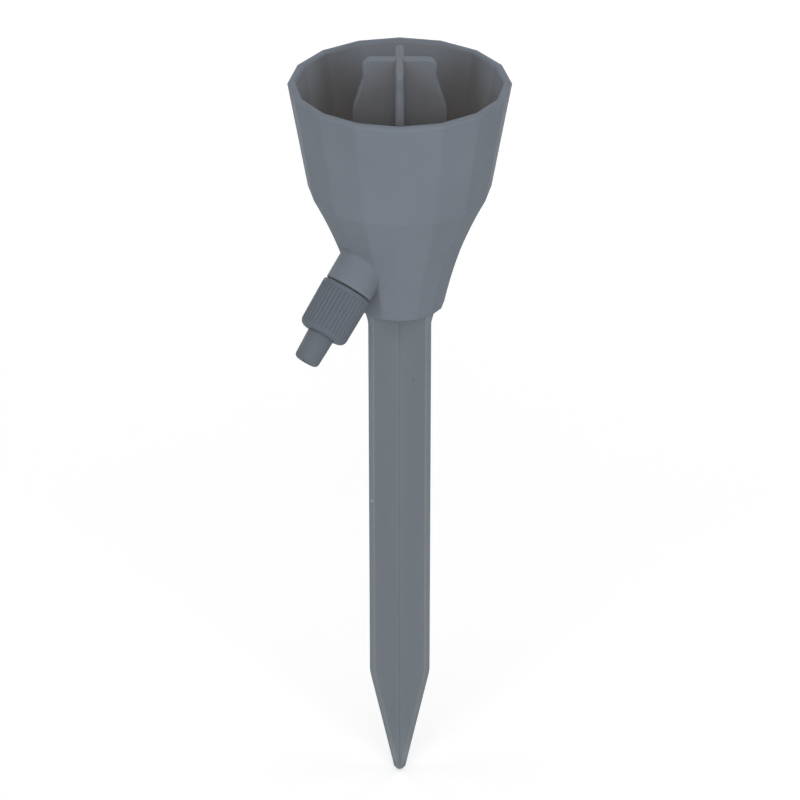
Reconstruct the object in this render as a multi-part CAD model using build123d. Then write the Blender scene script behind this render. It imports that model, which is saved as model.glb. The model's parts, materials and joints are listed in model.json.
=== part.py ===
from build123d import *

import os
from math import acos, atan2, cos, degrees, hypot, pi, radians, sin, tan

# Self-watering plant spike: a faceted bottle cup on a ground spike, with a screw-down drip valve.
# Millimetres. The origin is the spike's tip, +Z points up the spike's axis, and the valve leans
# out to the front left (towards -X and -Y).

# Clearances
FIT = 0.1                    # between pieces that are pushed together
RUNNING_GAP = 0.3            # between the valve's moving pieces and their bores
SEAL_GAP = 0.05              # between a seal and the face that it seals against

# Rounded edges of the rim and of the turned pieces
ROUND_FLATS = 5              # flats that make up a rounded edge

# Ground spike: two crossing blades under a round plug
SPIKE_LENGTH = 158.8         # tip to the cup's underside
POINT_LENGTH = 40.1          # the part that tapers
POINT_SHOULDER_ROUND = 10.0
TIP_RADIUS = 1.65
BLADE_REACH = 11.52          # axis to a blade's end face
BLADE_THICKNESS = 2.3
BLADE_EDGE_CHAMFER = 0.3
BLADE_ROOT_FLARE = 0.9       # how far a blade widens under the cup
BLADE_ROOT_HEIGHT = 2.8
BLADE_ROOT_ROUND = 6.0
PLUG_HEIGHT = 8.0            # pushed into the cup

# Cup: radii are at the corners of its facets
FACETS = 16
CUP_HEIGHT = 66.6
RIM_RADIUS = 30.3
SHOULDER_RADIUS = 25.15
BASE_RADIUS = 12.5
FUNNEL_HEIGHT = 35.5         # underside to the shoulder
FUNNEL_HOLLOW = 1.3          # how far the funnel's side curves in from a straight line
WALL = 2.0
FLOOR_THICKNESS = 3.0        # above the spike's plug
RIM_ROUND = 0.7              # on the outside
RIM_CHAMFER = 0.3            # on the inside

# Bottle cross: two crossing plates that stand in the cup
CROSS_RISE = 7.2             # above the rim
CROSS_NECK_WIDTH = 20.1
CROSS_NECK_LENGTH = 6.1
CROSS_FLARE_LENGTH = 8.8
CROSS_WIDTH = 25.6
CROSS_CORNER_ROUND = 2.8
CROSS_FLARE_ROUND = 6.0
CROSS_TOP_THICKNESS = 2.2
CROSS_DRAFT = 0.55           # degrees, each face
CROSS_EDGE_CHAMFER = 0.55
TENON_WIDTH = 16.0
TENON_DEPTH = 1.5

# Valve axis: it leaves the cup's axis at a height above the underside, leaning down and out
VALVE_HEIGHT = 31.0
VALVE_TILT = 45.0            # degrees below level
VALVE_HEADING = 225.0        # degrees round from +X

# Valve housing, moulded on the cup: a boss, and a spigot that the knob turns on
BOSS_RADIUS = 6.8
BOSS_CHAMFER = 0.3
VALVE_BORE_RADIUS = 3.2
SEAT_DEPTH = 3.4             # bottom of the valve bore below the boss's end
INLET_RADIUS = 1.5
SPIGOT_WALL = 1.3
SPIGOT_CLEARANCE = 1.1       # spigot's end to the stem's flange, with the valve closed
SEAT_THICKNESS = 1.6

# Valve knob
KNOB_CLEARANCE = 0.6         # knob's near edge to the funnel, measured level
KNOB_GAP = 0.3               # boss to knob, with the valve closed
KNOB_LENGTH = 14.4
KNOB_WALL = 1.9              # at its top
KNOB_TAPER = 0.2             # how much its radius shrinks from top to end
KNOB_END_WALL = 2.6
KNOB_TOP_ROUND = 0.6
KNOB_END_ROUND = 2.0         # the ribs run out on it
THREAD_ROOM = 0.8            # spigot to knob, for the screw thread
RIB_COUNT = 36
RIB_DEPTH = 0.32
RIB_GROOVE_WIDTH = 0.95
RIB_TOP_BAND = 1.3           # smooth ring above the ribs

# Valve stem: needle, O-ring groove, flange and outlet nozzle
NEEDLE_ANGLE = 30.0          # degrees, half of the cone
NEEDLE_TIP_RADIUS = 0.7
PORT_RADIUS = 0.9
PORT_CLEARANCE = 0.4         # to the needle's cone, and to the O-ring groove
STEM_BORE_RADIUS = 1.0
RING_SECTION_RADIUS = 0.6
RING_SECTION_SIDES = 8       # flats that make up its round section
FLANGE_THICKNESS = 1.6
NOZZLE_ROOT_RADIUS = 3.85
NOZZLE_TIP_RADIUS = 3.6
NOZZLE_LENGTH = 8.6          # beyond the knob
NOZZLE_ROUND = 1.3
NOZZLE_BORE_RADIUS = 2.0

# Heights and radii that follow from the sizes above
UNDERSIDE = SPIKE_LENGTH
PLUG_TOP = UNDERSIDE + PLUG_HEIGHT
CUP_FLOOR = PLUG_TOP + FIT + FLOOR_THICKNESS
SHOULDER = UNDERSIDE + FUNNEL_HEIGHT
RIM = UNDERSIDE + CUP_HEIGHT
CROSS_TOP = RIM + CROSS_RISE
FLAT_SHARE = cos(pi / FACETS)    # a facet's distance from the axis, as a share of its corners'
PLUG_RADIUS = BASE_RADIUS * FLAT_SHARE - WALL - FIT
SPIGOT_RADIUS = VALVE_BORE_RADIUS + SPIGOT_WALL
KNOB_BORE_RADIUS = SPIGOT_RADIUS + THREAD_ROOM
KNOB_RADIUS = KNOB_BORE_RADIUS + KNOB_WALL
STEM_RADIUS = VALVE_BORE_RADIUS - RUNNING_GAP
SEAL_RADIUS = INLET_RADIUS - SEAL_GAP
RING_CENTRE_RADIUS = VALVE_BORE_RADIUS - SEAL_GAP - RING_SECTION_RADIUS

# Where the knob starts along the valve axis, so that its near edge clears the funnel's side
TILT_COS = cos(radians(VALVE_TILT))
TILT_SIN = sin(radians(VALVE_TILT))
FUNNEL_SLOPE = (SHOULDER_RADIUS - BASE_RADIUS) / FUNNEL_HEIGHT
FUNNEL_AT_KNOB = BASE_RADIUS + FUNNEL_SLOPE * (VALVE_HEIGHT - KNOB_RADIUS * TILT_COS)
KNOB_REACH = FUNNEL_AT_KNOB + KNOB_CLEARANCE + KNOB_RADIUS * TILT_SIN
KNOB_TOP = KNOB_REACH / (TILT_COS + FUNNEL_SLOPE * TILT_SIN)

# Other stations along the valve axis, measured from the cup's axis
KNOB_END = KNOB_TOP + KNOB_LENGTH
KNOB_FLOOR = KNOB_END - KNOB_END_WALL
BOSS_END = KNOB_TOP - KNOB_GAP
FLANGE_START = KNOB_FLOOR - FLANGE_THICKNESS
SPIGOT_END = FLANGE_START - SPIGOT_CLEARANCE
NOZZLE_END = KNOB_END + NOZZLE_LENGTH
SEAT_BACK = BOSS_END - SEAT_DEPTH
SEAT_FACE = SEAT_BACK + SEAT_THICKNESS
NEEDLE_SLOPE = tan(radians(NEEDLE_ANGLE))
NEEDLE_TIP = SEAT_FACE - (SEAL_RADIUS - NEEDLE_TIP_RADIUS) / NEEDLE_SLOPE
NEEDLE_END = SEAT_FACE + (STEM_RADIUS - SEAL_RADIUS) / NEEDLE_SLOPE
PORT = NEEDLE_END + PORT_CLEARANCE + PORT_RADIUS
RING_GROOVE_START = PORT + PORT_RADIUS + PORT_CLEARANCE
RING_GROOVE_END = RING_GROOVE_START + 2 * (RING_SECTION_RADIUS + RUNNING_GAP)

HEADING_COS = cos(radians(VALVE_HEADING))
HEADING_SIN = sin(radians(VALVE_HEADING))
VALVE = Plane(
    origin=(0, 0, UNDERSIDE + VALVE_HEIGHT),
    x_dir=(HEADING_SIN, -HEADING_COS, 0),
    z_dir=(TILT_COS * HEADING_COS, TILT_COS * HEADING_SIN, -TILT_SIN),
)


def round_bar(radius, start, end):
    """Cylinder about the Z axis between two heights."""
    return Pos(0, 0, start) * Cylinder(radius, end - start, align=(Align.CENTER, Align.CENTER, Align.MIN))


def block(width, depth, start, end):
    """Box centred on the Z axis between two heights."""
    return Pos(0, 0, start) * Box(width, depth, end - start, align=(Align.CENTER, Align.CENTER, Align.MIN))


def rounded(outline, corner, radius):
    """Flat outline with the corner nearest to a point rounded off."""
    return fillet(outline.vertices().sort_by_distance(Vertex(*corner, 0))[0], radius)


def plate(outline, thickness):
    """Outline drawn in X and Z, thickened evenly to both sides of the XZ plane."""
    return extrude(Plane.XZ * outline, thickness / 2, both=True)


def soft_edged(slab, sharp_face, size):
    """Plate with the edges round its two flat sides chamfered, apart from those on one end face."""
    side_edges = slab.edges().filter_by(Axis.Y, reverse=True)
    return chamfer([edge for edge in side_edges if edge not in sharp_face.edges()], size)


def crossed(one_plate):
    """A plate and its twin, a quarter turn apart about the Z axis."""
    return one_plate + Rot(0, 0, 90) * one_plate


def quarter_round(centre, radius, start):
    """Corners of a rounded edge, drawn as flats over the quarter turn from a start in degrees."""
    angles = [radians(start + 90 * step / ROUND_FLATS) for step in range(ROUND_FLATS + 1)]
    return [(centre[0] + radius * cos(angle), centre[1] + radius * sin(angle)) for angle in angles]


def turned(corners):
    """Solid of revolution about the Z axis, from the corners of half of its section."""
    return revolve(Plane.XZ * make_face(Polyline(*corners, close=True)), Axis.Z)


def both_sides(right_side):
    """Corners of the right side of an outline, followed round by their mirror images."""
    return right_side + [(-x, z) for x, z in reversed(right_side)]


def faceted_form(inset, rim_edge=None):
    """The cup's form, closed, with every facet moved in by an inset, and with the rim's edge if one is given."""
    base = (BASE_RADIUS * FLAT_SHARE - inset, UNDERSIDE)
    shoulder = (SHOULDER_RADIUS * FLAT_SHARE - inset, SHOULDER)
    rim = (RIM_RADIUS * FLAT_SHARE - inset, RIM)
    far = -2 * max(RIM_RADIUS, SHOULDER_RADIUS)
    side = [
        SagittaArc(base, shoulder, FUNNEL_HOLLOW),
        Polyline(shoulder, *(rim_edge or [rim]), (far, RIM), (far, UNDERSIDE), base),
    ]
    slab = plate(make_face(side), -2 * far)
    facet_slabs = [Rot(0, 0, (facet + 0.5) * 360 / FACETS) * slab for facet in range(FACETS)]
    form = facet_slabs[0]
    for facet_slab in facet_slabs[1:]:
        form &= facet_slab
    return form


def reservoir_cup():
    """Faceted cup with the slanted valve boss and spigot moulded on, and a socket for the spike."""
    room = 2 * max(RIM_RADIUS, SHOULDER_RADIUS)
    cavity = faceted_form(WALL) & block(room, room, CUP_FLOOR, RIM)
    boss = chamfer(round_bar(BOSS_RADIUS, 0, BOSS_END).edges().sort_by(Axis.Z)[-1], BOSS_CHAMFER)
    spigot = round_bar(SPIGOT_RADIUS, 0, SPIGOT_END)
    round_centre = (RIM_RADIUS * FLAT_SHARE - RIM_ROUND, RIM - RIM_ROUND)
    outside = faceted_form(0, quarter_round(round_centre, RIM_ROUND, 0))
    shell = outside + VALVE * (boss + spigot) - cavity
    mouth_edges = shell.edges().group_by(Axis.Z)[-1].sort_by_distance((0, 0, RIM))[:FACETS]
    shell = chamfer(mouth_edges, RIM_CHAMFER)

    socket = round_bar(PLUG_RADIUS + FIT, UNDERSIDE, PLUG_TOP + FIT)
    slot_width = CROSS_TOP_THICKNESS + 2 * FIT
    slots = crossed(block(TENON_WIDTH + 2 * FIT, slot_width, CUP_FLOOR - TENON_DEPTH - FIT, CUP_FLOOR))
    valve_bore = round_bar(VALVE_BORE_RADIUS, SEAT_BACK, SPIGOT_END) + round_bar(INLET_RADIUS, 0, SEAT_BACK)
    return shell - socket - slots - VALVE * valve_bore


def ground_spike():
    """X-section stake with a blunt point, and a cored round plug that goes into the cup."""
    point_rise = POINT_LENGTH - TIP_RADIUS
    half_angle = acos(TIP_RADIUS / hypot(BLADE_REACH, point_rise)) - atan2(point_rise, BLADE_REACH)
    apex = (0, TIP_RADIUS - TIP_RADIUS / sin(half_angle))
    flare_start = UNDERSIDE - BLADE_ROOT_HEIGHT
    right_side = [
        (BLADE_REACH, POINT_LENGTH),
        (BLADE_REACH, flare_start),
        (BLADE_REACH + BLADE_ROOT_FLARE, UNDERSIDE),
    ]
    outline = make_face(Polyline(apex, *both_sides(right_side), close=True))
    outline = rounded(outline, apex, TIP_RADIUS)
    for reach in (BLADE_REACH, -BLADE_REACH):
        outline = rounded(outline, (reach, POINT_LENGTH), POINT_SHOULDER_ROUND)
        outline = rounded(outline, (reach, flare_start), BLADE_ROOT_ROUND)
    blade = plate(outline, BLADE_THICKNESS)
    blade = soft_edged(blade, blade.faces().sort_by(Axis.Z)[-1], BLADE_EDGE_CHAMFER)

    ribs = crossed(block(2 * PLUG_RADIUS, BLADE_THICKNESS, UNDERSIDE, PLUG_TOP))
    pockets = round_bar(PLUG_RADIUS - WALL, UNDERSIDE + WALL, PLUG_TOP) - ribs
    plug = round_bar(PLUG_RADIUS, UNDERSIDE, PLUG_TOP) - pockets
    return Rot(0, 0, 45) * (crossed(blade) + plug)


def bottle_cross():
    """Two drafted plates that stand in the cup, trimmed to the funnel, with tenons for its floor."""
    neck_end = CROSS_TOP - CROSS_NECK_LENGTH
    flare_end = neck_end - CROSS_FLARE_LENGTH
    neck, width = CROSS_NECK_WIDTH / 2, CROSS_WIDTH / 2
    right_side = [(width, CUP_FLOOR), (width, flare_end), (neck, neck_end), (neck, CROSS_TOP)]
    outline = make_face(Polyline(*both_sides(right_side), close=True))
    for side in (1, -1):
        outline = rounded(outline, (side * neck, CROSS_TOP), CROSS_CORNER_ROUND)
        outline = rounded(outline, (side * neck, neck_end), CROSS_FLARE_ROUND)
        outline = rounded(outline, (side * width, flare_end), CROSS_FLARE_ROUND)
    top_half = CROSS_TOP_THICKNESS / 2
    foot_half = top_half + (CROSS_TOP - CUP_FLOOR) * tan(radians(CROSS_DRAFT))
    section = make_face(Polyline(*both_sides([(foot_half, CUP_FLOOR), (top_half, CROSS_TOP)]), close=True))
    wedge = Rot(0, 0, 90) * plate(section, 2 * max(CROSS_WIDTH, CROSS_NECK_WIDTH))
    one_plate = plate(outline, 2 * foot_half) & wedge
    one_plate = soft_edged(one_plate, one_plate.faces().sort_by(Axis.Z)[0], CROSS_EDGE_CHAMFER)

    above = 2 * max(RIM_RADIUS, CROSS_WIDTH)
    inside = faceted_form(WALL + FIT) + block(above, above, SHOULDER, CROSS_TOP)
    tenons = crossed(block(TENON_WIDTH, CROSS_TOP_THICKNESS, CUP_FLOOR - TENON_DEPTH, CUP_FLOOR))
    return (crossed(one_plate) & inside) + tenons


def valve_seat():
    """Soft washer at the bottom of the valve bore."""
    washer = round_bar(VALVE_BORE_RADIUS - FIT, SEAT_BACK, SEAT_FACE)
    return VALVE * (washer - round_bar(INLET_RADIUS, SEAT_BACK, SEAT_FACE))


def valve_knob():
    """Ribbed sleeve, closed at its outer end apart from the hole for the nozzle."""
    end_radius = KNOB_RADIUS - KNOB_TAPER
    sleeve = turned([
        (KNOB_BORE_RADIUS, KNOB_TOP),
        *quarter_round((KNOB_RADIUS - KNOB_TOP_ROUND, KNOB_TOP + KNOB_TOP_ROUND), KNOB_TOP_ROUND, -90),
        *quarter_round((end_radius - KNOB_END_ROUND, KNOB_END - KNOB_END_ROUND), KNOB_END_ROUND, 0),
        (NOZZLE_ROOT_RADIUS + FIT, KNOB_END),
        (NOZZLE_ROOT_RADIUS + FIT, KNOB_FLOOR),
        (KNOB_BORE_RADIUS, KNOB_FLOOR),
    ])
    groove_corners = [
        (KNOB_RADIUS - RIB_DEPTH, 0),
        (KNOB_RADIUS + RIB_DEPTH, RIB_GROOVE_WIDTH),
        (KNOB_RADIUS + RIB_DEPTH, -RIB_GROOVE_WIDTH),
    ]
    groove = extrude(make_face(Polyline(*groove_corners, close=True)), KNOB_LENGTH - RIB_TOP_BAND)
    lean = degrees(atan2(KNOB_TAPER, KNOB_LENGTH))
    groove = Pos(0, 0, KNOB_TOP + RIB_TOP_BAND) * Rot(0, -lean, 0) * groove
    sleeve -= [turn * groove for turn in PolarLocations(0, RIB_COUNT)]
    return VALVE * sleeve


def valve_stem():
    """Needle, cross port, O-ring groove, flange and outlet nozzle in one turned piece."""
    groove_radius = RING_CENTRE_RADIUS - RING_SECTION_RADIUS - SEAL_GAP
    flange_radius = KNOB_BORE_RADIUS - SEAL_GAP
    stem = turned([
        (0, NEEDLE_TIP),
        (NEEDLE_TIP_RADIUS, NEEDLE_TIP),
        (STEM_RADIUS, NEEDLE_END),
        (STEM_RADIUS, RING_GROOVE_START),
        (groove_radius, RING_GROOVE_START),
        (groove_radius, RING_GROOVE_END),
        (STEM_RADIUS, RING_GROOVE_END),
        (STEM_RADIUS, FLANGE_START),
        (flange_radius, FLANGE_START),
        (flange_radius, KNOB_FLOOR),
        (NOZZLE_ROOT_RADIUS, KNOB_FLOOR),
        (NOZZLE_ROOT_RADIUS, KNOB_END),
        *quarter_round((NOZZLE_TIP_RADIUS - NOZZLE_ROUND, NOZZLE_END - NOZZLE_ROUND), NOZZLE_ROUND, 0),
        (0, NOZZLE_END),
    ])
    stem -= round_bar(NOZZLE_BORE_RADIUS, KNOB_END, NOZZLE_END)
    stem -= round_bar(STEM_BORE_RADIUS, PORT, KNOB_END)
    stem -= Pos(0, 0, PORT) * Rot(0, 90, 0) * Cylinder(PORT_RADIUS, 2 * VALVE_BORE_RADIUS)
    return VALVE * stem


def stem_o_ring():
    """Round-section ring that seals the stem in the valve bore."""
    middle = (RING_GROOVE_START + RING_GROOVE_END) / 2
    section = Pos(RING_CENTRE_RADIUS, middle) * RegularPolygon(RING_SECTION_RADIUS, RING_SECTION_SIDES)
    return VALVE * revolve(Plane.XZ * section, Axis.Z)


def main():
    os.makedirs("parts", exist_ok=True)
    makers = [
        reservoir_cup,
        ground_spike,
        bottle_cross,
        valve_seat,
        valve_knob,
        valve_stem,
        stem_o_ring,
    ]
    for maker in makers:
        export_step(maker(), f"parts/{maker.__name__}.step")


main()
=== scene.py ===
import json
from collections import namedtuple
from math import cos, pi, radians, sin

import bmesh
import bpy
from mathutils import Matrix, Vector


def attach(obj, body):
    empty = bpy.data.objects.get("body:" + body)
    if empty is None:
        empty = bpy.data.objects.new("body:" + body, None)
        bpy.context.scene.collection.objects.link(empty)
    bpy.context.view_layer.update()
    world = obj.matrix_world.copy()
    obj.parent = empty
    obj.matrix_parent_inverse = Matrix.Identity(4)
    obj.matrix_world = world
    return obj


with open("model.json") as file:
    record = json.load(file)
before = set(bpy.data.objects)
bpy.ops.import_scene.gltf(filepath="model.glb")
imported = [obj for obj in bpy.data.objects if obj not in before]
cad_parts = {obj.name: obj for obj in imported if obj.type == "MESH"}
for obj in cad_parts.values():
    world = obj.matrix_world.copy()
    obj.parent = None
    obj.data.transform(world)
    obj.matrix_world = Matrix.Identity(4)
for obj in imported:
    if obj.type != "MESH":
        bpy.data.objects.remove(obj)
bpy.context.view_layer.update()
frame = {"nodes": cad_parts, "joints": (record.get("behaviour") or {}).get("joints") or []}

# Self-watering spike: a grey moulded bottle cup on an X-section stake, with a ribbed drip valve.
# Metres. The solids keep their shapes and get their finishes here, and the valve gets its screw threads.

# Camera
CAMERA_ELEVATION = radians(29.48)
CAMERA_DISTANCE = 1.00125
CAMERA_TARGET = Vector((0.00008, 0, 0.12688))
CAMERA_LENS = 159.14                    # millimetres, on a sensor 36 mm wide

# Light
DOME_LIGHT = 0.08
LAMP_SIZE = 0.9
LAMP_DISTANCE = 1.3
LAMP_PAIRS = [                          # name, watts, degrees to either side of the camera, degrees up
    ("lower", 3.8, 20, 15),
    ("upper", 3.3, 20, 40),
    ("side", 3.2, 95, 52),
    ("back", 4.6, 150, 18),
]
FLOOR_SIZE = 12.0
FLOOR_WHITE = (0.9, 0.9, 0.9, 1)
FLOOR_NEAR_GLOW = 0.3                   # fills the lamplit floor up to white and leaves the shadow in it
FLOOR_NEAR = 0.5                        # the lamps light the floor evenly as far as this
FLOOR_FAR = 1.2                         # and hardly from here on

# Screw thread between the spigot and the knob
THREAD_PITCH = 0.0015
THREAD_TURNS = 5
THREAD_STEPS = 40                       # straight runs in a turn
THREAD_FADE = 0.35                      # share of a turn over which an end fades out
THREAD_ROOT_WIDTH = 0.00080
THREAD_CREST_WIDTH = 0.00036
THREAD_SUNK = 0.00006                   # how deep a ridge's foot lies in the wall that carries it
THREAD_START = 0.0012                   # first ridge's middle below the knob's top
THREAD_SHARP_ANGLE = radians(35)
SPIGOT_RADIUS = 0.0045
SPIGOT_CREST_RADIUS = 0.00503
KNOB_BORE_RADIUS = 0.0053
KNOB_CREST_RADIUS = 0.00478
MERGE_DISTANCE = 1e-7                   # points of a faded end that are nearer than this become one

knob_turn = next(joint for joint in frame["joints"] if joint["name"] == "knob_turn")
VALVE_AXIS = Vector(knob_turn["axis"]).normalized()
VALVE_POINT = Vector(knob_turn["pos_m"])


# Colours

def grey(red, green, blue):
    """Linear colour of a screen colour that is given in 0 to 255."""
    shares = [value / 255 for value in (red, green, blue)]
    return (*[((share + 0.055) / 1.055) ** 2.4 for share in shares], 1)


# The spike's grey is lighter than the cup's as painted light, and the knob's and stem's greys are darker as
# painted shade; they stand in for how the lamps fall on these parts
CUP_GREY = grey(114, 121, 130)
SPIKE_GREY_WITH_PAINTED_LIGHT = grey(120, 127, 133)
CROSS_GREY = grey(113, 119, 126)
KNOB_GREY_WITH_PAINTED_SHADE = grey(97, 104, 113)
STEM_GREY_WITH_PAINTED_SHADE = grey(98, 105, 113)
SEAL_BLACK = grey(50, 50, 52)

# Moulded plastic: scales are lumps in a metre, shades and tints are beside the plastic's own colour
NOISE_SPAN = (0.3, 0.7)                 # where most values of a noise lie
PIGMENT_SCALE = 55
PIGMENT_SHADES = (0.965, 1.03)
SPECK_SCALE = 420
SPECK_EDGE = (0.05, 0.09)               # where a speck starts to fade and ends, in shares of its cell
SPECK_SHARE = 0.35
SPECK_SHADE = 0.62
RUBBED_SCALE = 240
RUBBED_SPAN = (-0.05, 0.06)             # how far the roughness strays
SPECULAR_LEVEL = 0.16
GRAIN_SCALE = 2600
WAVE_SCALE = 320
WAVE_HEIGHT = 0.6                       # beside the grain's
FEELERS = 8                             # rays that feel for walls and edges round a point
SPOT_CORE = 0.6                         # share of a spot's radius that has its full shade

# Painted light along edges, and painted shade along the spike's edges, whose tint is darker: the share of
# rays into the piece that meet no wall, where it starts and where it is full, and how strong it is between
# its patches and in them
EDGE_SHADING_OPENNESS = (0.92, 0.6)
EDGE_SHADING_PATCH_SCALE = 190
EDGE_SHADING_PATCH_SPAN = (0.35, 0.65)
EDGE_SHADING_SHARES = (0.45, 0.7)

# Soft rubber
BLOOM_SCALE = 700
BLOOM_SPAN = (0.4, 0.7)
BLOOM_SHADE = 1.5
RUBBER_ROUGHNESS = (0.55, 0.75)         # bare, and under the bloom
RUBBER_GRAIN_SCALE = 3000
RUBBER_GRAIN_DEPTH = 0.00002

# Painted light and shade: colour made lighter or darker, and tinted, by how closed in a surface is, standing
# in for how much light reaches it.
# Each row: how near walls have to be, how open the surface still is where it starts and where it is full,
# its tint, and whether it lies only midway between the cross's plates
PaintedShading = namedtuple("PaintedShading", "reach start full tint midway", defaults=[False])
PLATE_SPACING = 1 / 4                   # turns from one arm of the cross to the next
MIDWAY = (24 / 360, 39 / 360)           # turns from the nearest arm where such a film starts and is full
CREASE_REACH = 0.0006
CUP_REACH = 0.06
# Painted shade as thin dark lines in creases and joints, and a painted brown light deep in the slot between
# the boss and the knob
CREASE_PAINTED_SHADE = [
    PaintedShading(reach=CREASE_REACH, start=0.75, full=0.5, tint=(0.87, 0.84, 0.81)),
    PaintedShading(reach=CREASE_REACH, start=0.45, full=0.2, tint=(5.2, 3.8, 2.5)),
]
# Inside the cup and under the boss: a pale painted light where the surface is partly closed in, a warm
# painted shade deeper, painted shade midway between the plates, a warm painted light deepest, and painted
# shade in nooks within a short reach such as under the boss
CUP_PAINTED_SHADING = [
    PaintedShading(reach=CUP_REACH, start=0.62, full=0.48, tint=(1.45, 1.38, 1.32)),
    PaintedShading(reach=CUP_REACH, start=0.44, full=0.25, tint=(1.06, 0.92, 0.79)),
    PaintedShading(reach=CUP_REACH, start=0.6, full=0.45, tint=(0.92, 0.81, 0.71), midway=True),
    PaintedShading(reach=CUP_REACH, start=0.22, full=0.15, tint=(1.55, 1.19, 0.99)),
    PaintedShading(reach=0.012, start=0.75, full=0.5, tint=(0.8, 0.74, 0.74)),
]
# Painted light on the spike where the cup and its own blades close it in, which fills the shade under the
# cup and in the valleys
SPIKE_PAINTED_LIGHT = [
    PaintedShading(reach=0.02, start=0.85, full=0.5, tint=(1.2, 1.2, 1.2)),
]
# On the cross: a slight painted light where it is partly closed in, a warm painted shade deeper, a warm
# painted light deepest, and painted light near its own corners
CROSS_PAINTED_SHADING = [
    PaintedShading(reach=CUP_REACH, start=0.85, full=0.6, tint=(1.05, 1.05, 1.06)),
    PaintedShading(reach=CUP_REACH, start=0.56, full=0.35, tint=(0.96, 0.86, 0.8)),
    PaintedShading(reach=CUP_REACH, start=0.22, full=0.14, tint=(1.31, 1.18, 1.07)),
    PaintedShading(reach=0.008, start=0.9, full=0.55, tint=(1.27, 1.18, 1.1)),
]

# Marks on the spike: a dark one, a light one, and the tip, where the spike's painted light is held back so
# that its plain colour shows
Spot = namedtuple("Spot", "centre radius shade")
SPIKE_SPOTS = [
    Spot(centre=(0.00387, -0.00549, 0.13659), radius=0.0006, shade=0.87),
    Spot(centre=(-0.0079, -0.00839, 0.09856), radius=0.00045, shade=1.9),
    Spot(centre=(0, 0, 0), radius=0.006, shade=1.0),
]

# A colour mix's sockets, which go by number because others have the same names
MIX_SHARE = 0
MIX_FIRST = 6
MIX_SECOND = 7
MIX_RESULT = 2


# Objects and nodes

def in_scene(name, data):
    """Object in the scene that shows a mesh, light or camera."""
    thing = bpy.data.objects.new(name, data)
    bpy.context.scene.collection.objects.link(thing)
    return thing


def finished_mesh(name, draft):
    """Mesh of a drafted one, which is freed."""
    mesh = bpy.data.meshes.new(name)
    draft.to_mesh(mesh)
    draft.free()
    return mesh


def add_node(tree, kind, inputs=None, **settings):
    """Node of a kind, with its settings and with values or links on its inputs."""
    node = tree.nodes.new(kind)
    for name, value in settings.items():
        setattr(node, name, value)
    for socket, value in (inputs or {}).items():
        if isinstance(value, bpy.types.NodeSocket):
            tree.links.new(value, node.inputs[socket])
        else:
            node.inputs[socket].default_value = value
    return node


def new_material(name):
    """Material, its node tree, and the place of a point on the piece."""
    material = bpy.data.materials.new(name)
    material.use_nodes = True
    tree = material.node_tree
    return material, tree, add_node(tree, "ShaderNodeTexCoord").outputs["Object"]


def worked_out(tree, operation, *values):
    """Result of an operation on values or links."""
    sockets = dict(enumerate(values))
    return add_node(tree, "ShaderNodeMath", sockets, operation=operation).outputs["Value"]


def distance_from(tree, place, centre):
    """Distance of a place from a point."""
    sockets = {0: place, 1: centre}
    return add_node(tree, "ShaderNodeVectorMath", sockets, operation="DISTANCE").outputs["Value"]


def noise(tree, where, scale, detail):
    """Noise with a number of lumps in a metre."""
    sockets = {"Vector": where, "Scale": scale, "Detail": detail}
    return add_node(tree, "ShaderNodeTexNoise", sockets).outputs["Fac"]


def remapped(tree, value, old, new=(0, 1)):
    """Value moved from an old range to a new one and held inside it."""
    sockets = {"Value": value}
    sockets["From Min"], sockets["From Max"] = old
    sockets["To Min"], sockets["To Max"] = new
    return add_node(tree, "ShaderNodeMapRange", sockets).outputs["Result"]


def mixed(tree, share, first, second):
    """Colour between two colours."""
    sockets = {MIX_SHARE: share, MIX_FIRST: first, MIX_SECOND: second}
    return add_node(tree, "ShaderNodeMix", sockets, data_type="RGBA").outputs[MIX_RESULT]


def tinted(colour, tint):
    """The colour, channel by channel, times a tint."""
    return (*[channel * share for channel, share in zip(colour, tint)], 1)


def shaded(colour, factor):
    """The colour, lighter or darker by a factor."""
    return tinted(colour, (factor, factor, factor))


# Finishes

def sheltered(tree, reach, openness, inside=False):
    """0 on open surface, rising to 1 where walls within a reach close it in.

    The walls are those in front of the surface or, with inside, those behind it in the piece's own material.
    """
    sockets = {"Distance": reach}
    feeler = add_node(tree, "ShaderNodeAmbientOcclusion", sockets, samples=FEELERS, inside=inside)
    return remapped(tree, feeler.outputs["AO"], openness)


def painted_edge_shading(tree, place, width):
    """Share of painted light along the outer edges, sharp or rounded, in patches; a tint below 1 turns it
    into painted shade.
    """
    on_edge = sheltered(tree, width, EDGE_SHADING_OPENNESS, inside=True)
    lumps = noise(tree, place, EDGE_SHADING_PATCH_SCALE, detail=3)
    patches = remapped(tree, lumps, EDGE_SHADING_PATCH_SPAN, EDGE_SHADING_SHARES)
    return worked_out(tree, "MULTIPLY", on_edge, patches)


def midway_between_plates(tree, place):
    """0 beside the cross's plates, rising to 1 midway between them."""
    bearing = add_node(tree, "ShaderNodeTexGradient", {"Vector": place}, gradient_type="RADIAL")
    off_plate = worked_out(tree, "PINGPONG", bearing.outputs["Fac"], PLATE_SPACING / 2)
    return remapped(tree, off_plate, MIDWAY)


def on_spot(tree, place, spot):
    """1 on a round spot, fading out at its rim."""
    fade = (SPOT_CORE * spot.radius, spot.radius)
    return remapped(tree, distance_from(tree, place, spot.centre), fade, (1, 0))


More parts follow.
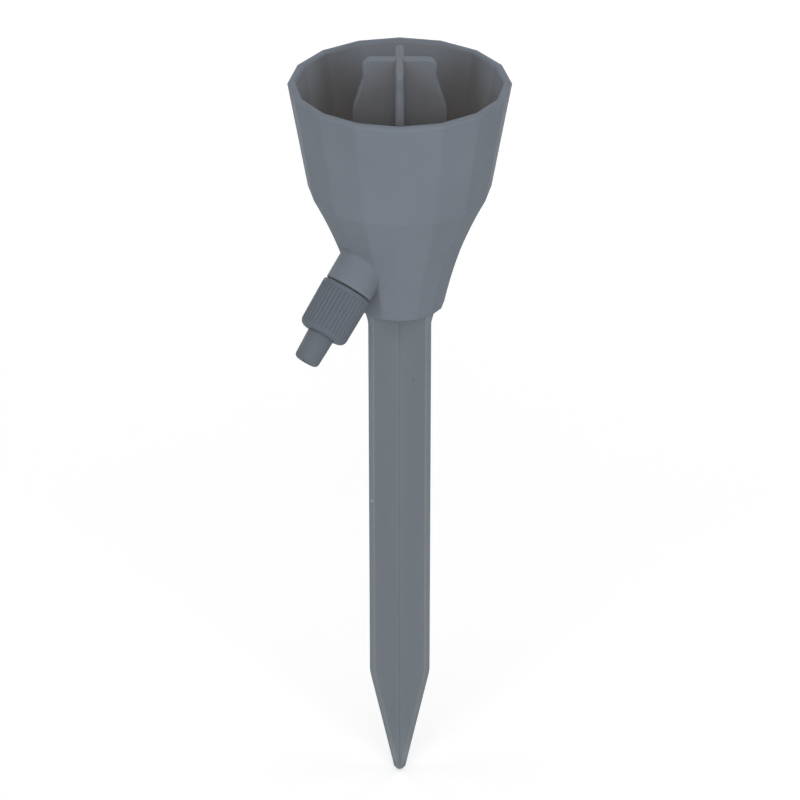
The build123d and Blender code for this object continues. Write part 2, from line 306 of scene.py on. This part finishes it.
def moulded_plastic(name, colour, roughness, grain_depth, edge_round, edge_shading_width, edge_shading_tint, painted_shadings=(),
                    stretch=(1, 1, 1), spots=()):
    """Matte plastic: drifting pigment, specks, painted light and shade by how closed in the surface is,
    marks, painted light along the edges, and an eroded grain.
    """
    material, tree, place = new_material(name)
    shader = tree.nodes["Principled BSDF"]
    drawn = add_node(tree, "ShaderNodeMapping", {"Vector": place, "Scale": stretch}).outputs["Vector"]

    drift = remapped(tree, noise(tree, drawn, PIGMENT_SCALE, detail=4), NOISE_SPAN)
    darker, lighter = [shaded(colour, factor) for factor in PIGMENT_SHADES]
    paint = mixed(tree, drift, darker, lighter)
    cells = add_node(tree, "ShaderNodeTexVoronoi", {"Vector": place, "Scale": SPECK_SCALE})
    speck = remapped(tree, cells.outputs["Distance"], SPECK_EDGE, (SPECK_SHARE, 0))
    paint = mixed(tree, speck, paint, shaded(colour, SPECK_SHADE))
    # painted light and shade, by how closed in the surface is
    for painted_shading in [*painted_shadings, *CREASE_PAINTED_SHADE]:
        share = sheltered(tree, painted_shading.reach, (painted_shading.start, painted_shading.full))
        if painted_shading.midway:
            share = worked_out(tree, "MULTIPLY", share, midway_between_plates(tree, place))
        paint = mixed(tree, share, paint, tinted(colour, painted_shading.tint))
    for spot in spots:
        paint = mixed(tree, on_spot(tree, place, spot), paint, shaded(colour, spot.shade))
    # painted light along the edges, which the spike's darker tint turns into painted shade
    paint = mixed(tree, painted_edge_shading(tree, place, edge_shading_width), paint, tinted(colour, edge_shading_tint))
    tree.links.new(paint, shader.inputs["Base Color"])

    rubbing = noise(tree, place, RUBBED_SCALE, detail=3)
    rubbed = remapped(tree, rubbing, NOISE_SPAN, [roughness + stray for stray in RUBBED_SPAN])
    tree.links.new(rubbed, shader.inputs["Roughness"])
    shader.inputs["Specular IOR Level"].default_value = SPECULAR_LEVEL

    grain = noise(tree, place, GRAIN_SCALE, detail=3)
    waves = noise(tree, drawn, WAVE_SCALE, detail=1)
    relief = worked_out(tree, "MULTIPLY_ADD", waves, WAVE_HEIGHT, grain)
    rounded = add_node(tree, "ShaderNodeBevel", {"Radius": edge_round}, samples=FEELERS)
    sockets = {"Distance": grain_depth, "Height": relief, "Normal": rounded.outputs["Normal"]}
    bump = add_node(tree, "ShaderNodeBump", sockets)
    tree.links.new(bump.outputs["Normal"], shader.inputs["Normal"])
    return material


def soft_rubber(name, colour):
    """Dark rubber with a bloom and a fine lumpy surface."""
    material, tree, place = new_material(name)
    shader = tree.nodes["Principled BSDF"]
    bloom = remapped(tree, noise(tree, place, BLOOM_SCALE, detail=4), BLOOM_SPAN)
    tree.links.new(mixed(tree, bloom, colour, shaded(colour, BLOOM_SHADE)), shader.inputs["Base Color"])
    tree.links.new(remapped(tree, bloom, (0, 1), RUBBER_ROUGHNESS), shader.inputs["Roughness"])
    lumps = noise(tree, place, RUBBER_GRAIN_SCALE, detail=2)
    bump = add_node(tree, "ShaderNodeBump", {"Distance": RUBBER_GRAIN_DEPTH, "Height": lumps})
    tree.links.new(bump.outputs["Normal"], shader.inputs["Normal"])
    return material


cup_plastic = moulded_plastic(
    "cup_plastic_eroded", CUP_GREY, roughness=0.70, grain_depth=0.000010, edge_round=0.0016,
    edge_shading_width=0.0012, edge_shading_tint=(1.22, 1.3, 1.36), painted_shadings=CUP_PAINTED_SHADING)
# the spike's edge tint is darker: painted shade along its blade edges
spike_plastic = moulded_plastic(
    "spike_plastic_drawn", SPIKE_GREY_WITH_PAINTED_LIGHT, roughness=0.68, grain_depth=0.000010, edge_round=0.0003,
    edge_shading_width=0.0005, edge_shading_tint=(0.93, 0.93, 0.96), painted_shadings=SPIKE_PAINTED_LIGHT, stretch=(1, 1, 0.12),
    spots=SPIKE_SPOTS)
cross_plastic = moulded_plastic(
    "cross_plastic_drawn", CROSS_GREY, roughness=0.68, grain_depth=0.000010, edge_round=0.0005,
    edge_shading_width=0.0008, edge_shading_tint=(1.44, 1.54, 1.64), painted_shadings=CROSS_PAINTED_SHADING, stretch=(1, 1, 0.25))
knob_plastic = moulded_plastic(
    "knob_plastic_ribbed", KNOB_GREY_WITH_PAINTED_SHADE, roughness=0.64, grain_depth=0.000003, edge_round=0.0001,
    edge_shading_width=0.0003, edge_shading_tint=(1.08, 1.1, 1.12))
stem_plastic = moulded_plastic(
    "stem_plastic_smooth", STEM_GREY_WITH_PAINTED_SHADE, roughness=0.58, grain_depth=0.000005, edge_round=0.0003,
    edge_shading_width=0.0004, edge_shading_tint=(1.08, 1.1, 1.12))
seal_rubber = soft_rubber("seal_rubber_black", SEAL_BLACK)

FINISHES = {
    "reservoir_cup": cup_plastic,
    "ground_spike": spike_plastic,
    "bottle_cross": cross_plastic,
    "valve_knob": knob_plastic,
    "valve_stem": stem_plastic,
    "valve_seat": seal_rubber,
    "stem_o_ring": seal_rubber,
}
for node_name, finish in FINISHES.items():
    for slot in frame["nodes"][node_name].material_slots:
        slot.material = finish


# Screw threads

def first_station(node_name):
    """Lowest station of a node's points along the valve's axis."""
    vertices = frame["nodes"][node_name].data.vertices
    return min((vertex.co - VALVE_POINT).dot(VALVE_AXIS) for vertex in vertices)


def thread_ridge(name, foot_radius, crest_radius, middle):
    """Ridge that winds round the valve's axis, right-handed, with both ends faded out to its foot."""
    draft = bmesh.new()
    profile = [
        (foot_radius, -THREAD_ROOT_WIDTH / 2),
        (crest_radius, -THREAD_CREST_WIDTH / 2),
        (crest_radius, THREAD_CREST_WIDTH / 2),
        (foot_radius, THREAD_ROOT_WIDTH / 2),
    ]
    loop = [draft.verts.new((radius, 0, middle + offset)) for radius, offset in profile]
    edges = [draft.edges.new((loop[index - 1], loop[index])) for index in range(len(loop))]
    draft.faces.new(loop)
    steps = THREAD_TURNS * THREAD_STEPS
    fade_steps = THREAD_FADE * THREAD_STEPS
    turn = Matrix.Rotation(2 * pi / THREAD_STEPS, 3, "Z")
    rings = [loop]
    for _ in range(steps):
        grown = bmesh.ops.extrude_edge_only(draft, edges=edges)["geom"]
        edges = [part for part in grown if isinstance(part, bmesh.types.BMEdge)]
        moved = [part for part in grown if isinstance(part, bmesh.types.BMVert)]
        bmesh.ops.rotate(draft, verts=moved, cent=(0, 0, 0), matrix=turn)
        bmesh.ops.translate(draft, verts=moved, vec=(0, 0, THREAD_PITCH / THREAD_STEPS))
        rings.append(moved)
    bmesh.ops.contextual_create(draft, geom=edges)
    for step, ring in enumerate(rings):
        full = min(1, step / fade_steps, (steps - step) / fade_steps)
        for vertex in ring:
            radius = vertex.co.xy.length
            vertex.co.xy *= (foot_radius + (radius - foot_radius) * full) / radius
    bmesh.ops.remove_doubles(draft, verts=draft.verts, dist=MERGE_DISTANCE)
    bmesh.ops.recalc_face_normals(draft, faces=draft.faces)
    to_valve = Matrix.Translation(VALVE_POINT) @ VALVE_AXIS.to_track_quat("Z", "Y").to_matrix().to_4x4()
    bmesh.ops.transform(draft, matrix=to_valve, verts=draft.verts)

    mesh = finished_mesh(name, draft)
    mesh.shade_smooth()
    mesh.set_sharp_from_angle(angle=THREAD_SHARP_ANGLE)
    return in_scene(name, mesh)


knob_top = first_station("valve_knob")
spigot_thread = thread_ridge(
    "spigot_thread", SPIGOT_RADIUS - THREAD_SUNK, SPIGOT_CREST_RADIUS,
    knob_top + THREAD_START)
spigot_thread.data.materials.append(cup_plastic)
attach(spigot_thread, "base")

knob_thread = thread_ridge(
    "knob_thread", KNOB_BORE_RADIUS + THREAD_SUNK, KNOB_CREST_RADIUS,
    knob_top + THREAD_START + THREAD_PITCH / 2)
knob_thread.data.materials.append(knob_plastic)
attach(knob_thread, "knob")


# Studio

def seen_directly(tree):
    """1 for rays from the eye, from reflections and through clear things, and 0 for light cast on others."""
    path = add_node(tree, "ShaderNodeLightPath").outputs
    seen_or_reflected = worked_out(tree, "MAXIMUM", path["Is Camera Ray"], path["Is Glossy Ray"])
    return worked_out(tree, "MAXIMUM", seen_or_reflected, path["Is Transmission Ray"])


def studio_world():
    """Even white light from all round, in front of a white background."""
    world = bpy.data.worlds.new("studio_dome")
    world.use_nodes = True
    tree = world.node_tree
    backdrop = tree.nodes["Background"]
    backdrop.inputs["Color"].default_value = (1, 1, 1, 1)
    strength = remapped(tree, seen_directly(tree), (0, 1), (DOME_LIGHT, 1))
    tree.links.new(strength, backdrop.inputs["Strength"])
    bpy.context.scene.world = world


def studio_floor():
    """Wide white floor under the spike's tip."""
    draft = bmesh.new()
    bmesh.ops.create_grid(draft, x_segments=2, y_segments=2, size=FLOOR_SIZE / 2)
    floor = in_scene("studio_floor", finished_mesh("studio_floor", draft))

    material, tree, place = new_material("floor_white")
    tree.nodes.remove(tree.nodes["Principled BSDF"])
    paper = add_node(tree, "ShaderNodeBsdfDiffuse", {"Color": FLOOR_WHITE})
    away = distance_from(tree, place, (0, 0, 0))
    fill = remapped(tree, away, (FLOOR_NEAR, FLOOR_FAR), (FLOOR_NEAR_GLOW, 1))
    strength = worked_out(tree, "MULTIPLY", fill, seen_directly(tree))
    glow = add_node(tree, "ShaderNodeEmission", {"Strength": strength})
    both = add_node(tree, "ShaderNodeAddShader", {0: paper.outputs[0], 1: glow.outputs[0]})
    tree.links.new(both.outputs[0], tree.nodes["Material Output"].inputs["Surface"])
    floor.data.materials.append(material)


def aim(thing, target):
    """Turns a light or camera at a point."""
    thing.rotation_euler = (target - thing.location).to_track_quat("-Z", "Y").to_euler()


def from_front(distance, elevation, azimuth=0.0):
    """Point at a distance from the camera's target, in front of the object or round from there."""
    level = distance * cos(elevation)
    offset = Vector((level * sin(azimuth), -level * cos(azimuth), distance * sin(elevation)))
    return CAMERA_TARGET + offset


def soft_lamp(name, watts, location):
    """Square soft lamp that points at the object."""
    light = bpy.data.lights.new(name, "AREA")
    light.energy = watts
    light.size = LAMP_SIZE
    lamp = in_scene(name, light)
    lamp.location = location
    aim(lamp, CAMERA_TARGET)


def photo_camera():
    """Camera at the photograph's place and angle."""
    data = bpy.data.cameras.new("photo_camera")
    data.lens = CAMERA_LENS
    camera = in_scene("photo_camera", data)
    camera.location = from_front(CAMERA_DISTANCE, CAMERA_ELEVATION)
    aim(camera, CAMERA_TARGET)
    bpy.context.scene.camera = camera


studio_world()
studio_floor()
for pair_name, watts, to_either_side, up in LAMP_PAIRS:
    for side_name, side in (("left", -1), ("right", 1)):
        lamp_place = from_front(LAMP_DISTANCE, radians(up), radians(side * to_either_side))
        soft_lamp(f"{pair_name}_{side_name}", watts, lamp_place)
photo_camera()
bpy.context.scene.view_settings.view_transform = "Standard"
